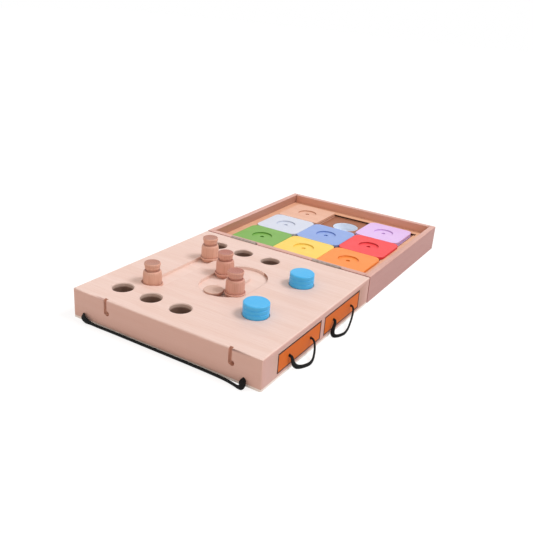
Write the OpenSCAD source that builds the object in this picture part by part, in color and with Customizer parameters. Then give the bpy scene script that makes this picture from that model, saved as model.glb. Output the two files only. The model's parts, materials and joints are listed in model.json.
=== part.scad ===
// Wooden treat puzzle for a dog, in two halves that fold top to top on two hinges.
// The near half is a peg box: six treat holes, a straight groove and an oval groove
// with turned pegs, two blue plugs, and two drawers on cord loops.
// The far half is a tray of eight tongued and grooved tiles that slide over nine wells.
// Millimetres. Origin: middle of the hinge line, on the floor. +X right, +Y towards
// the tray, +Z up. Inside a half, places are measured from its left front corner.

/* [Halves] */
// Width of each half, along the hinge line
half_w = 280; // [272:1:340]
// Depth of each half, from the hinge line to its free edge
half_d = 280; // [272:1:340]
// Height of each half
half_h = 40; // [38:1:52]
// Gap between the two halves when they lie open
joint_gap = 1.2; // [0.8:0.1:2]
// The peg box's block is glued up from a front and a rear stave of this width, a board
// with the grooves between them, and the drawers' housing at the right
stave_w = 60; // [56:1:62]
// Rounding of the peg box's edges
edge_round = 2.5; // [1:0.5:4]
// Thickness of the thin bottom panels
panel_t = 3; // [2:0.5:4]

/* [Treat holes] */
// Bore of the six treat holes
treat_d = 26.6; // [18:0.2:30]
// Depth of the treat holes
treat_depth = 24; // [12:1:30]
// First hole of the near row and of the far row from the left face
treat_left = 46; // [40:0.5:52]
treat_left_back = 50.5; // [40:0.5:56]
// Distance between holes in a row
treat_pitch = 46; // [34:1:50]
// Near row from the front face, far row from the hinged face
treat_front = 40; // [24:1:42]
treat_back = 42; // [24:0.5:44]
// Width of the eased rim round each hole
rim_ease = 1.5; // [0.5:0.1:2.5]

/* [Grooves] */
// Width of the straight and the oval groove
groove_w = 23.4; // [20:0.1:26]
// Depth of the grooves
groove_depth = 4; // [3:0.5:6]
// Centre line of the straight groove, from the left face
straight_left = 70; // [64:0.5:72]
// Near end and far end of the straight groove's centre line, from the front face
straight_near = 80; // [76:1:90]
straight_far = 191.5; // [160:0.5:193]
// Middle of the oval groove, from the straight groove's centre line
groove_apart = 72.5; // [68:0.5:76]
// Radius of the oval groove's centre line at its round ends
oval_r = 24.2; // [24:0.1:27]
// Centre of the oval's near end, from the front face
oval_near = 129; // [120:1:134]
// Length of the oval's straight sides
oval_straight = 35; // [30:1:40]
// Pocket that one peg is parked in, from the left and the front face
parked_left = 62; // [60:0.5:68]
parked_near = 77.5; // [74:0.5:80]

/* [Pegs] */
// Diameter of a peg's tenon, which runs in the board's grooves
peg_d = 22.8; // [18.6:0.1:25]
// Widest diameter of a peg's body, above its foot
body_d = 24.6; // [20:0.1:25.8]
// Diameter and thickness of a peg's foot
foot_d = 27.6; // [24:0.1:28]
foot_t = 2.3; // [1.5:0.1:3]
// Height of a peg above the board
peg_h = 30.4; // [26:0.2:36]
// Height and widest diameter of a peg's head
head_h = 8.2; // [7:0.2:10]
head_d = 21.4; // [20:0.2:25]
// Diameter and height of the turned neck under the head
neck_d = 15.6; // [14:0.2:17]
neck_h = 2; // [1.6:0.1:3]
// Diameter of the flat puck in the oval groove
puck_d = 26; // [24:0.1:26]

/* [Plugs] */
// Diameter and height of a blue plug above the board
plug_d = 32.7; // [28:0.1:36]
plug_h = 17; // [12:0.5:20]
// Depth of the shallow seat that a plug's cap sits in
plug_seat = 1.5; // [1:0.1:2.5]
// Bore that a plug stands in
plug_bore = 25; // [18:0.5:27]
// Plugs from the right face, and their distance apart
plug_right = 63; // [56:1:66]
plug_pitch = 112; // [100:1:118]

/* [Drawers] */
// Width and height of a drawer front
drawer_w = 101.5; // [84.5:0.5:103]
drawer_h = 25; // [20:0.5:26]
// Height of the drawer above the floor
drawer_z = 6.5; // [6.5:0.5:8]
// Distance between the drawers' middles
drawer_pitch = 112; // [108:1:118]
// Depth of a drawer, its front included
drawer_l = 88; // [70:1:95]
// Thickness of a drawer front, and of the tray's walls and floor
front_t = 6; // [5:0.5:8]
drawer_wall = 4; // [3:0.5:5]
// Gap all round a drawer front
drawer_gap = 0.8; // [0.6:0.1:1.2]
// Distance between the two holes of a cord loop
loop_pitch = 51; // [40:1:60]

/* [Cords] */
// Diameter of the elastic cord
cord_d = 3; // [2.5:0.1:3.5]
// Strap holes in the front face: from the left side, from the right side, and height
strap_left = 17.5; // [16:0.5:24]
strap_right = 22.5; // [16:0.5:28]
strap_z = 8.5; // [8:0.5:10]
// Hooked grooves in the front face, from the left and the right side, and their width
hook_left = 54.3; // [48:0.1:60]
hook_right = 41.7; // [38:0.1:60]
hook_w = 4.6; // [3:0.1:5.5]

/* [Tile tray] */
// Thickness of the tray's rails
rail_t = 9; // [8:0.5:12]
// Tile tops below the top of the rails
tile_drop = 10.5; // [8:0.5:12]
// Tile tops above the frame round them
tile_rise = 3.2; // [0:0.1:3.2]
// Distance between tile middles
tile_pitch = 77; // [64:0.5:78]
// Gap between two tiles
tile_gap = 0.6; // [0.4:0.1:1]
// Thickness of a tile
tile_t = 7.2; // [7:0.2:9]
// Reach and thickness of a tile's tongue
tongue_l = 3.6; // [3:0.1:4]
tongue_t = 1.6; // [1.4:0.1:1.8]
// Corner rounding of the painted tiles and of the plain one
tile_round = 11; // [3:0.5:14]
plain_round = 4; // [1:0.5:6]
// Shallow dish in a tile's top, and the hole in its middle
dish_d = 32; // [26:1:36]
dish_depth = 2; // [1:0.1:2.4]
finger_hole_d = 6.5; // [3:0.5:8]
// Depth of that hole, from the tile's top
finger_depth = 4; // [2:0.5:5]
// How far the lilac tile stands out of its own cell
lilac_shift = 6; // [0:0.5:20]
// White cups in the wells: diameter and depth
cup_d = 43.4; // [36:0.2:48]
cup_h = 13; // [8:0.5:14]

/* [Hinges] */
// Length of a hinge, and its middle from the side face
hinge_l = 44; // [38:1:50]
hinge_inset = 69; // [40:1:80]
// Height of a hinge leaf's plate
leaf_h = 11.5; // [10:0.5:13]
// Radius of the knuckles and of the pin
knuckle_r = 2.2; // [2:0.1:2.4]
pin_r = 1; // [0.8:0.1:1.2]

/* [Hidden] */
$fn = 48;
eps = 1; // overshoot of a cut past a face
play = 0.3; // gap under a piece that rests or slides
running = 0.06; // radial gap of a pin in its knuckles

near_front = -joint_gap / 2 - half_d; // y of the peg box's front face
board_top = half_h;
groove_floor = half_h - groove_depth;
oval_left = straight_left + groove_apart;
oval_far = oval_near + oval_straight;
tenon_h = groove_depth - play;
foot_play = 0.4; // gap round the parked peg's foot

bay_gap = 0.3; // gap under a drawer
bay_z = drawer_z - bay_gap;
bay_top = drawer_z + drawer_h + drawer_gap;
bay_l = drawer_l + 3;
housing_left = half_w - bay_l - 9; // a wall of 9 behind the drawers
tray_l = drawer_l - front_t;
tray_top = bay_top - 2.6; // the drawer's walls pass under the plugs
plug_foot = tray_top + 1;
plug_fit = 0.4; // gap round a plug's shank
plug_seat_fit = 0.9; // gap round a plug's cap in its seat
plug_cap = plug_h + plug_seat; // height of the whole cap
loop_z = drawer_z + drawer_h / 2;

knot_d = 6.4;
knot_l = 5;
knot_seat = 0.3; // a drawer's knots behind its front
cord_hole = cord_d + 1;
strap_depth = 8.5; // the strap's knots behind the front face
knot_pocket_d = 10;

screw_d = 3;
screw_head_d = 6;
screw_l = 14;
screw_fit = 0.05;
screw_sink = 0.3; // screw heads below the underside
panel_inset = 8; // panel screws from the faces

leaf_t = 1.2;
hinge_z = half_h + 0.4; // the hinge pin's height
leaf_top = hinge_z - knuckle_r - 0.4;
knuckles = 5;
knuckle_gap = 0.25;
knuckle_l = hinge_l / knuckles;
notch_r = knuckle_r + 0.6;
notch_l = hinge_l + 2.6;
pin_head_r = 1.8;
pin_head_t = 0.8;
hinge_screw_d = 2.4;
hinge_head_d = 4.4;
hinge_screw_l = 7;
hinge_screw_x = 14;
hinge_screw_z = leaf_top - leaf_h / 2;

tray_in_w = half_w - 2 * rail_t;
tray_in_d = half_d - 2 * rail_t;
tray_panel_z = 1;
tray_floor_z = tray_panel_z + panel_t;
tile_top = half_h - tile_drop;
cell_floor = tile_top - tile_t - play;
well_floor_z = cell_floor - cup_h - play;
tile_face = tile_pitch - tile_gap;
frame_top = tile_top - tile_rise;
tongue_z = cell_floor + play + 1;
groove_reach = tongue_l + tile_gap;
groove_play = 0.25; // above and below a tongue
grid = 3 * tile_pitch + tile_gap;
cup_wall = 1.2;
cup_fit = 0.3;
rail_ease = 1;

// Peg places, from the left front corner of the peg box
parked = [parked_left, parked_near];
far_left = [straight_left, straight_far];
oval_left_place = [oval_left - oval_r, oval_near + 31];
oval_right_angle = -28.5;
puck_angle = -97;
function on_oval(angle) = [oval_left + oval_r * cos(angle), oval_near + oval_r * sin(angle)];

// The strap from its left hole and from its right hole, each to the middle:
// distance inward from the hole, out from the front face, and height
strap_from_left = [
    [0, -4, 8.5], [0, 0, 8.5], [0.9, 2.4, 8.2], [3.2, 4.2, 7.1], [6.6, 5, 5.6],
    [10.8, 5.2, 4.2], [16, 5, 3.1], [24, 4.5, 2.4], [36, 4.1, 2.2], [54, 3.8, 2.2], [95, 3.8, 2.2]
];
strap_from_right = [
    [0, -4, 8.5], [0, 0, 8.5], [-0.8, 3, 8.1], [-2.2, 5.8, 6.8], [-2.8, 7.6, 5],
    [-1.8, 8.7, 3.3], [1.4, 8.9, 2.4], [6, 7.8, 2.2], [12, 6.5, 2.2], [20, 5.3, 2.2],
    [32, 4.5, 2.2], [50, 4, 2.2], [70, 3.8, 2.2], [95, 3.8, 2.2]
];
left_end = [for (p = strap_from_left) [strap_left - half_w / 2 + p.x, near_front - p.y, p.z]];
right_end = [for (p = strap_from_right) [half_w / 2 - strap_right - p.x, near_front - p.y, p.z]];
strap_route = concat(
    [left_end[0] + [0, strap_depth - 4, 0]], left_end,
    [for (i = [len(right_end) - 1 : -1 : 0]) right_end[i]],
    [right_end[0] + [0, strap_depth - 4, 0]]
);
// A drawer's loop: out from its front, along it as a share of half the pitch, and
// height as a share from lying on the floor to the holes' height
loop_shape = [
    [-3, -1, 1], [0, -1, 1], [2.4, -1, 0.97], [3.8, -0.99, 0.85], [4.4, -0.95, 0.62],
    [4.8, -0.88, 0.4], [5.6, -0.78, 0.2], [7.7, -0.66, 0.06], [10.6, -0.5, 0],
    [13.4, -0.26, 0], [15, 0, 0.03], [14.8, 0.25, 0.14], [13.2, 0.46, 0.32],
    [11.2, 0.64, 0.52], [8.8, 0.8, 0.72], [6, 0.92, 0.89], [3, 0.99, 0.98],
    [0, 1, 1], [-3, 1, 1]
];
near_lean = 0.02; // how far the low part of each loop swings towards the front
far_lean = 0.8;
loop_low = cord_d / 2 + 0.2;
function loop_route(lean) = concat(
    [[-front_t - knot_seat, -loop_pitch / 2, loop_z]],
    [for (p = loop_shape)
        [p.x, (p.y - lean * (1 - p.z)) * loop_pitch / 2, loop_low + p.z * (loop_z - loop_low)]],
    [[-front_t - knot_seat, loop_pitch / 2, loop_z]]
);

birch = "#e6c7b4";
beech = "#d9a988";
end_beech = "#c99a7c";
sky_paint = "#55b9f0";
orange_paint = "#d9743f";
steel = "#9a9a9c";
black_cord = "#1b1b1d";
white_cup = "#f2f4f6";

// ---- Frames of the two halves ----

// Children are placed from the left front corner of the peg box
module in_peg_box() {
    translate([-half_w / 2, near_front, 0]) children();
}

// Children are placed from the middle of the tile tray
module in_tray() {
    translate([0, (joint_gap + half_d) / 2, 0]) children();
}

// ---- Shared shapes ----

module rounded_rect(w, d, r) {
    square([w - 2 * r, d], center = true);
    square([w, d - 2 * r], center = true);
    for (sx = [-1, 1], sy = [-1, 1])
        translate([sx * (w / 2 - r), sy * (d / 2 - r)]) circle(r = r);
}

// Outline of a block seen from the side, its two top corners rounded
module eased_side(w, h, r) {
    translate([-w / 2, 0]) square([w, h - r]);
    translate([-w / 2 + r, 0]) square([w - 2 * r, h]);
    for (s = [-1, 1]) translate([s * (w / 2 - r), h - r]) circle(r = r);
}

// Block on the floor, centred, with upright and top edges rounded
module eased_block(w, d, h, r) {
    intersection() {
        linear_extrude(h) rounded_rect(w, d, r);
        translate([0, d / 2, 0]) rotate([90, 0, 0]) linear_extrude(d) eased_side(w, h, r);
        translate([-w / 2, 0, 0]) rotate([90, 0, 90]) linear_extrude(w) eased_side(d, h, r);
    }
}

// Strip of the given width round a line from y0 to y1, with round ends
module round_strip(w, y0, y1) {
    translate([-w / 2, y0]) square([w, y1 - y0]);
    for (y = [y0, y1]) translate([0, y]) circle(d = w);
}

// Round bar along an axis, on the given direction: "x", "y" or "z"
module bar(d, l, along) {
    rotate(along == "x" ? [0, 90, 0] : along == "y" ? [-90, 0, 0] : [0, 0, 0])
        cylinder(d = d, h = l);
}

// Countersunk wood screw on z = 0, pointing up
module wood_screw(d, head_d, l, fit = 0) {
    cylinder(d = d + 2 * fit, h = l + fit);
    cylinder(d1 = head_d + 2 * fit, d2 = d + 2 * fit, h = (head_d - d) / 2);
}

// Closed tube with a ring at each point of a route. The aside vector is nowhere
// parallel to the route.
module cord(route, d, aside, sides = 8) {
    last = len(route) - 1;
    function unit(v) = v / norm(v);
    function along(i) = unit(route[min(i + 1, last)] - route[max(i - 1, 0)]);
    function across(i) = unit(cross(along(i), aside));
    rings = [for (i = [0 : last], k = [0 : sides - 1])
        route[i] + d / 2 * (cos(k * 360 / sides) * across(i)
            + sin(k * 360 / sides) * cross(along(i), across(i)))];
    walls = [for (i = [0 : last - 1], k = [0 : sides - 1])
        let (a = i * sides + k, b = i * sides + (k + 1) % sides)
            each [[a, a + sides, b], [b, a + sides, b + sides]]];
    start = [for (k = [1 : sides - 2]) [0, k, k + 1]];
    end = [for (k = [1 : sides - 2]) [last * sides, last * sides + k + 1, last * sides + k]];
    polyhedron(points = rings, faces = concat(walls, start, end), convexity = 4);
}

function shift(route, by) = [for (p = route) p + by];

// ---- Peg box ----

module treat_holes() {
    for (i = [0 : 2], row = [[treat_left, treat_front], [treat_left_back, half_d - treat_back]])
        translate([row.x + i * treat_pitch, row.y, 0]) {
            translate([0, 0, board_top - treat_depth]) cylinder(d = treat_d, h = treat_depth + eps);
            translate([0, 0, board_top - rim_ease])
                cylinder(d1 = treat_d, d2 = treat_d + 2 * rim_ease + 2 * eps, h = rim_ease + eps);
        }
}

module grooves() {
    translate([0, 0, groove_floor]) linear_extrude(groove_depth + eps) {
        translate([straight_left, 0]) round_strip(groove_w, straight_near, straight_far);
        translate([oval_left, 0]) difference() {
            round_strip(2 * oval_r + groove_w, oval_near, oval_far);
            round_strip(2 * oval_r - groove_w, oval_near, oval_far);
        }
    }
    translate([parked.x, parked.y, 0]) {
        translate([0, 0, groove_floor]) cylinder(d = foot_d + 2 * foot_play, h = groove_depth + eps);
        translate([0, 0, groove_floor - groove_depth]) cylinder(d = groove_w, h = groove_depth + eps);
    }
}

module drawer_bays() {
    for (s = [-1, 1])
        translate([half_w - bay_l, half_d / 2 + s * drawer_pitch / 2 - drawer_w / 2 - drawer_gap, bay_z])
            cube([bay_l + eps, drawer_w + 2 * drawer_gap, bay_top - bay_z]);
}

module plug_bores() {
    for (s = [-1, 1]) translate([half_w - plug_right, half_d / 2 + s * plug_pitch / 2, 0]) {
        translate([0, 0, bay_top - eps]) cylinder(d = plug_bore, h = board_top - bay_top + 2 * eps);
        translate([0, 0, board_top - plug_seat])
            cylinder(d = plug_d + 2 * plug_seat_fit, h = plug_seat + eps);
    }
}

// Hole for the strap, and the pocket for its knot, open at the block's underside
module strap_holes() {
    for (x = [strap_left, half_w - strap_right]) {
        translate([x, -eps, strap_z]) bar(cord_hole, strap_depth + eps, "y");
        translate([x, strap_depth + 3.5, panel_t - eps])
            cylinder(d = knot_pocket_d, h = strap_z + knot_d / 2 + 2 - panel_t + eps);
    }
}

// Groove from the top edge down to a hole that it hooks into
module hooked_grooves() {
    groove_y = 4; // how deep it is cut into the front face
    hole_d = 6.8;
    hole_z = 22;
    hook = 2.6; // hole to the right of the groove
    for (x = [hook_left, half_w - hook_right]) {
        translate([x - hook_w / 2, -eps, hole_z]) cube([hook_w, groove_y + eps, board_top - hole_z + eps]);
        translate([x, -eps, hole_z]) bar(hook_w, groove_y + eps, "y");
        translate([x, -eps, hole_z - hook_w / 2]) cube([hook, groove_y + eps, hook_w]);
        translate([x + hook, -eps, hole_z]) bar(hole_d, 2 * groove_y + eps, "y");
    }
}

module panel_screw_places(w, d) {
    for (x = [-1, 0, 1], y = [-1, 0, 1])
        if (x != 0 || y != 0)
            translate([x * (w / 2 - panel_inset), y * (d / 2 - panel_inset), 0]) children();
}

// Countersunk holes for the screws that hold a bottom panel whose underside is at z = 0
module panel_screw_holes(w, d) {
    panel_screw_places(w, d) {
        translate([0, 0, -eps]) cylinder(d = screw_head_d + 2 * screw_fit, h = eps + screw_sink);
        translate([0, 0, screw_sink]) wood_screw(screw_d, screw_head_d, screw_l, screw_fit);
    }
}

// Hinge seat at the right of the joint plane y = 0, for the half at y > 0
module hinge_seat() {
    for (x = hinge_places) translate([x, 0, 0]) {
        translate([-notch_l / 2, 0, hinge_z]) bar(2 * notch_r, notch_l, "x");
        translate([-notch_l / 2, -eps, hinge_z - notch_r])
            cube([notch_l, joint_gap / 2 + leaf_t + eps, notch_r + eps]);
        translate([-hinge_l / 2, joint_gap / 2 - eps, leaf_top - leaf_h])
            cube([hinge_l, leaf_t + eps, leaf_h + eps]);
        for (s = [-1, 1])
            translate([s * hinge_screw_x, joint_gap / 2, hinge_screw_z])
                rotate([-90, 0, 0]) wood_screw(hinge_screw_d, hinge_head_d, hinge_screw_l, screw_fit);
    }
}
hinge_places = [-half_w / 2 + hinge_inset, half_w / 2 - hinge_inset];

// The whole glued-up block, with all that is cut into it
module peg_block() {
    difference() {
        translate([0, near_front + half_d / 2, panel_t])
            eased_block(half_w, half_d, half_h - panel_t, edge_round);
        in_peg_box() {
            treat_holes();
            grooves();
            drawer_bays();
            plug_bores();
            strap_holes();
            hooked_grooves();
            translate([half_w / 2, half_d / 2, 0]) panel_screw_holes(half_w, half_d);
        }
        mirror([0, 1, 0]) hinge_seat();
    }
}

// The part of the block between two corners, measured from its left front corner
module block_piece(from, to) {
    color(birch) intersection() {
        peg_block();
        in_peg_box() translate([from.x, from.y, 0]) cube([to.x - from.x, to.y - from.y, half_h + eps]);
    }
}

module peg_box_panel() {
    color(birch) translate([0, near_front + half_d / 2, 0]) difference() {
        linear_extrude(panel_t) rounded_rect(half_w, half_d, edge_round);
        panel_screw_holes(half_w, half_d);
    }
}

module peg_box_screws() {
    color(steel) translate([0, near_front + half_d / 2, screw_sink])
        panel_screw_places(half_w, half_d) wood_screw(screw_d, screw_head_d, screw_l);
}

// Stopper knot with its flat face at the origin, its body along +Y or -X
module knot(turn) {
    rotate(turn) intersection() {
        cylinder(d = knot_d, h = knot_l);
        translate([0, 0, knot_l / 2]) sphere(d = knot_d + 1.2);
    }
}

module front_strap() {
    color(black_cord) cord(strap_route, cord_d, [0.3, 0.4, 1]);
}

module strap_knots() {
    color(black_cord) in_peg_box() for (x = [strap_left, half_w - strap_right])
        translate([x, strap_depth, strap_z]) knot([-90, 0, 0]);
}

// ---- Hinges ----

// One leaf with its knuckles, for the half at y > 0; odd picks its share of knuckles
module hinge_leaf(odd) {
    difference() {
        union() {
            translate([-hinge_l / 2, joint_gap / 2, leaf_top - leaf_h]) cube([hinge_l, leaf_t, leaf_h]);
            for (i = [0 : knuckles - 1]) if (i % 2 == (odd ? 1 : 0))
                translate([-hinge_l / 2 + i * knuckle_l + knuckle_gap / 2, 0, hinge_z]) {
                    bar(2 * knuckle_r, knuckle_l - knuckle_gap, "x");
                    translate([0, joint_gap / 2, leaf_top - hinge_z])
                        cube([knuckle_l - knuckle_gap, leaf_t, hinge_z - leaf_top]);
                }
        }
        translate([-hinge_l / 2 - eps, 0, hinge_z]) bar(2 * (pin_r + running), hinge_l + 2 * eps, "x");
        for (s = [-1, 1])
            translate([s * hinge_screw_x, joint_gap / 2, hinge_screw_z])
                rotate([-90, 0, 0]) wood_screw(hinge_screw_d, hinge_head_d, hinge_screw_l, screw_fit);
    }
}

module hinge_pin() {
    translate([-hinge_l / 2 - 0.1, 0, hinge_z]) {
        bar(2 * pin_r, hinge_l + 0.2, "x");
        translate([-pin_head_t, 0, 0]) bar(2 * pin_head_r, pin_head_t, "x");
        translate([hinge_l + 0.2, 0, 0]) bar(2 * pin_head_r, pin_head_t, "x");
    }
}

module box_leaf(side) {
    color(steel) translate([hinge_places[side], 0, 0]) mirror([0, 1, 0]) hinge_leaf(false);
}

module tray_leaf(side) {
    color(steel) translate([hinge_places[side], 0, 0]) hinge_leaf(true);
}

module pin(side) {
    color(steel) translate([hinge_places[side], 0, 0]) hinge_pin();
}

module hinge_screws() {
    color(steel) for (x = hinge_places, s = [-1, 1])
        translate([x + s * hinge_screw_x, joint_gap / 2, hinge_screw_z])
            rotate([-90, 0, 0]) wood_screw(hinge_screw_d, hinge_head_d, hinge_screw_l);
}

// ---- Pegs, puck and plugs, standing on z = 0 ----

// Turned peg: tenon below the board, foot, body with a rounded shoulder, neck, and a head
// that flares to a dished top
module turned_peg() {
    shoulder = peg_h - head_h - neck_h;
    head = peg_h - head_h;
    ease = 0.8;
    belly = body_d / 2; // the body is a little barrelled
    dish = 0.8;
    dish_r = head_d / 2 - 1.6;
    dish_ball = (dish_r * dish_r + dish * dish) / (2 * dish);
    color(beech) difference() {
        rotate_extrude($fn = 64) polygon([
            [0, -tenon_h], [peg_d / 2, -tenon_h], [peg_d / 2, 0], [foot_d / 2, 0],
            [foot_d / 2, foot_t - ease], [foot_d / 2 - ease, foot_t], [belly - 0.5, foot_t],
            [belly - 0.1, foot_t + 3], [belly, foot_t + 6], [belly - 0.2, shoulder - 5],
            [belly - 0.6, shoulder - 2.4], [belly - 1.1, shoulder - 1.2],
            [belly - 1.9, shoulder - 0.4], [belly - 2.8, shoulder],
            [neck_d / 2, shoulder], [neck_d / 2, head], [neck_d / 2 + 1, head],
            [neck_d / 2 + 1.9, head + 0.8], [head_d / 2 - 0.9, head + 3], [head_d / 2 - 0.2, peg_h - 3],
            [head_d / 2, peg_h - 1.8], [head_d / 2 - 0.2, peg_h - 0.7], [head_d / 2 - 0.8, peg_h],
            [0, peg_h]
        ]);
        translate([0, 0, peg_h - dish + dish_ball]) sphere(r = dish_ball, $fn = 96);
    }
}

// Flat puck on the same kind of tenon
module turned_puck() {
    ease = 0.8;
    color(beech) {
        translate([0, 0, -tenon_h]) cylinder(d = peg_d, h = tenon_h + foot_t);
        cylinder(d = puck_d, h = foot_t - ease);
        translate([0, 0, foot_t - ease]) cylinder(d1 = puck_d, d2 = puck_d - 2 * ease, h = ease);
    }
}

module on_board(place, sink = 0) {
    in_peg_box() translate([place.x, place.y, board_top + play - sink]) children();
}

module plug(side) {
    ease = 1.2;
    ring_r = 0.9; // two turned grooves round the cap
    on_board([half_w - plug_right, half_d / 2 + side * plug_pitch / 2], plug_seat) color(sky_paint) {
        translate([0, 0, plug_foot + plug_seat - board_top - play])
            cylinder(d = plug_bore - 2 * plug_fit, h = board_top + play - plug_seat - plug_foot + 1);
        difference() {
            union() {
                cylinder(d1 = plug_d - 2 * ease, d2 = plug_d, h = ease);
                translate([0, 0, ease]) cylinder(d = plug_d, h = plug_cap - 2 * ease);
                translate([0, 0, plug_cap - ease])
                    cylinder(d1 = plug_d, d2 = plug_d - 2 * ease, h = ease);
            }
            for (z = [plug_seat + plug_h * 0.34, plug_seat + plug_h * 0.66])
                translate([0, 0, z]) rotate_extrude()
                    translate([plug_d / 2 + 0.2, 0]) circle(r = ring_r, $fn = 24);
        }
    }
}

// ---- Drawers ----

// Children are placed from the middle of a drawer's front face, on the floor
module in_drawer(side) {
    translate([half_w / 2, near_front + half_d / 2 + side * drawer_pitch / 2, 0]) children();
}

module drawer_front(side) {
    color(orange_paint) in_drawer(side) difference() {
        translate([-front_t, -drawer_w / 2, drawer_z]) cube([front_t, drawer_w, drawer_h]);
        for (s = [-1, 1]) translate([-front_t - eps, s * loop_pitch / 2, loop_z])
            bar(cord_hole, front_t + 2 * eps, "x");
    }
}

module drawer_tray(side) {
    w = drawer_w - 2 * drawer_gap;
    color(birch) in_drawer(side) translate([-drawer_l, 0, drawer_z]) difference() {
        translate([0, -w / 2, 0]) cube([tray_l, w, tray_top - drawer_z]);
        translate([drawer_wall, -w / 2 + drawer_wall, drawer_wall])
            cube([tray_l, w - 2 * drawer_wall, tray_top]);
    }
}

module drawer_cord(side, lean) {
    color(black_cord) cord(shift(loop_route(lean),
        [half_w / 2, near_front + half_d / 2 + side * drawer_pitch / 2, 0]), cord_d, [0.6, -0.7, 0.4]);
}

module drawer_knots(side) {
    color(black_cord) in_drawer(side) for (s = [-1, 1])
        translate([-front_t - knot_seat, s * loop_pitch / 2, loop_z]) knot([0, -90, 0]);
}

// ---- Tile tray ----

module side_rail(side) {
    color(beech) in_tray() translate([side * (half_w - rail_t) / 2, 0, 0])
        eased_block(rail_t, half_d, half_h, rail_ease);
}

module near_rail() {
    color(beech) difference() {
        in_tray() translate([0, -(half_d - rail_t) / 2, 0])
            eased_block(tray_in_w, rail_t, half_h, rail_ease);
        hinge_seat();
    }
}

module far_rail() {
    color(beech) in_tray() translate([0, (half_d - rail_t) / 2, 0])
        eased_block(tray_in_w, rail_t, half_h, rail_ease);
}

module tray_panel() {
    color(end_beech) in_tray() translate([0, 0, tray_panel_z]) difference() {
        linear_extrude(panel_t) square([tray_in_w, tray_in_d], center = true);
        panel_screw_holes(tray_in_w, tray_in_d);
    }
}

module tray_screws() {
    color(steel) in_tray() translate([0, 0, tray_panel_z + screw_sink])
        panel_screw_places(tray_in_w, tray_in_d) wood_screw(screw_d, screw_head_d, screw_l);
}

module well_places() {
    for (x = [-1, 0, 1], y = [-1, 0, 1]) translate([x * tile_pitch, y * tile_pitch, 0]) children();
}

// Plain board under the cups
module tray_floor() {
    color(end_beech) in_tray() difference() {
        translate([0, 0, tray_floor_z]) linear_extrude(well_floor_z - tray_floor_z)
            square([tray_in_w, tray_in_d], center = true);
        translate([0, 0, tray_panel_z]) panel_screw_holes(tray_in_w, tray_in_d);
    }
}

// Strip of board with one row of three wells, from y0 to y1
module well_strip(y0, y1) {
    color(end_beech) in_tray() difference() {
        translate([-tray_in_w / 2, y0, well_floor_z])
            cube([tray_in_w, y1 - y0, cell_floor - well_floor_z]);
        well_places() translate([0, 0, well_floor_z - eps])
            cylinder(d = cup_d + 2 * cup_fit, h = cell_floor - well_floor_z + 2 * eps);
        translate([0, 0, tray_panel_z]) panel_screw_holes(tray_in_w, tray_in_d);
    }
}

module treat_cups() {
    color(white_cup) in_tray() well_places() translate([0, 0, cell_floor - cup_h - play]) difference() {
        cylinder(d = cup_d, h = cup_h);
        translate([0, 0, cup_wall]) cylinder(d = cup_d - 2 * cup_wall, h = cup_h);
    }
}

// Groove in a piece whose face is at x = 0 and whose wood is at x < 0
module tile_groove(l) {
    translate([-groove_reach, -l / 2, tongue_z - groove_play])
        cube([groove_reach + eps, l, tongue_t + 2 * groove_play]);
}

// Tongue on a piece whose face is at x = 0 and whose wood is at x < 0
module tile_tongue(l) {
    translate([-eps, -l / 2, tongue_z]) cube([tongue_l + eps, l, tongue_t]);
}

// Frame round the tiles: grooves on its left and far sides, tongues on the others
module tile_surround() {
    color(beech) in_tray() {
        difference() {
            translate([0, 0, cell_floor]) linear_extrude(frame_top - cell_floor) difference() {
                square([tray_in_w, tray_in_d], center = true);
                square(grid, center = true);
            }
            translate([-grid / 2, 0, 0]) tile_groove(grid);
            translate([0, grid / 2, 0]) rotate(-90) tile_groove(grid);
        }
        translate([grid / 2, 0, 0]) mirror([1, 0, 0]) tile_tongue(grid - 2 * groove_reach);
        translate([0, -grid / 2, 0]) rotate(90) tile_tongue(grid - 2 * groove_reach);
    }
}

// A tile in its cell: column and row run from -1 to 1, the far row is 1
module tile(column, row, paint, r, slide = 0) {
    tongue_side = tile_face - 2 * tile_round - 4;
    color(paint) in_tray() translate([column * tile_pitch + slide, row * tile_pitch, 0]) {
        difference() {
            translate([0, 0, cell_floor + play]) linear_extrude(tile_t)
                rounded_rect(tile_face, tile_face, r);
            translate([tile_face / 2, 0, 0]) tile_groove(tile_face + 2 * eps);
            translate([0, -tile_face / 2, 0]) rotate(-90) tile_groove(tile_face + 2 * eps);
            translate([0, 0, tile_top - dish_depth]) cylinder(d = dish_d, h = dish_depth + eps);
            translate([0, 0, tile_top - finger_depth])
                cylinder(d = finger_hole_d, h = finger_depth + eps);
        }
        translate([-tile_face / 2, 0, 0]) rotate(180) tile_tongue(tongue_side);
        translate([0, tile_face / 2, 0]) rotate(90) tile_tongue(tongue_side);
    }
}

block_piece([0, 0], [housing_left, stave_w]);  // front_stave
block_piece([0, stave_w], [housing_left, half_d - stave_w]);  // groove_board
block_piece([0, half_d - stave_w], [housing_left, half_d]);  // rear_stave
block_piece([housing_left, 0], [half_w, half_d]);  // drawer_housing
peg_box_panel();
peg_box_screws();
front_strap();
strap_knots();
box_leaf(0);  // left_hinge_box_leaf
box_leaf(1);  // right_hinge_box_leaf
pin(0);  // left_hinge_pin
pin(1);  // right_hinge_pin
mirror([0, 1, 0]) hinge_screws();  // hinge_box_screws
on_board(parked, groove_depth) turned_peg();  // parked_peg
on_board(far_left) turned_peg();  // straight_peg
on_board(oval_left_place) turned_peg();  // oval_left_peg
on_board(on_oval(oval_right_angle)) turned_peg();  // oval_right_peg
on_board(on_oval(puck_angle)) turned_puck();  // oval_puck
plug(-1);  // near_plug
plug(1);  // far_plug
drawer_front(-1);  // near_drawer_front
drawer_tray(-1);  // near_drawer_tray
drawer_cord(-1, near_lean);  // near_drawer_cord
drawer_knots(-1);  // near_drawer_knots
drawer_front(1);  // far_drawer_front
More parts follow.
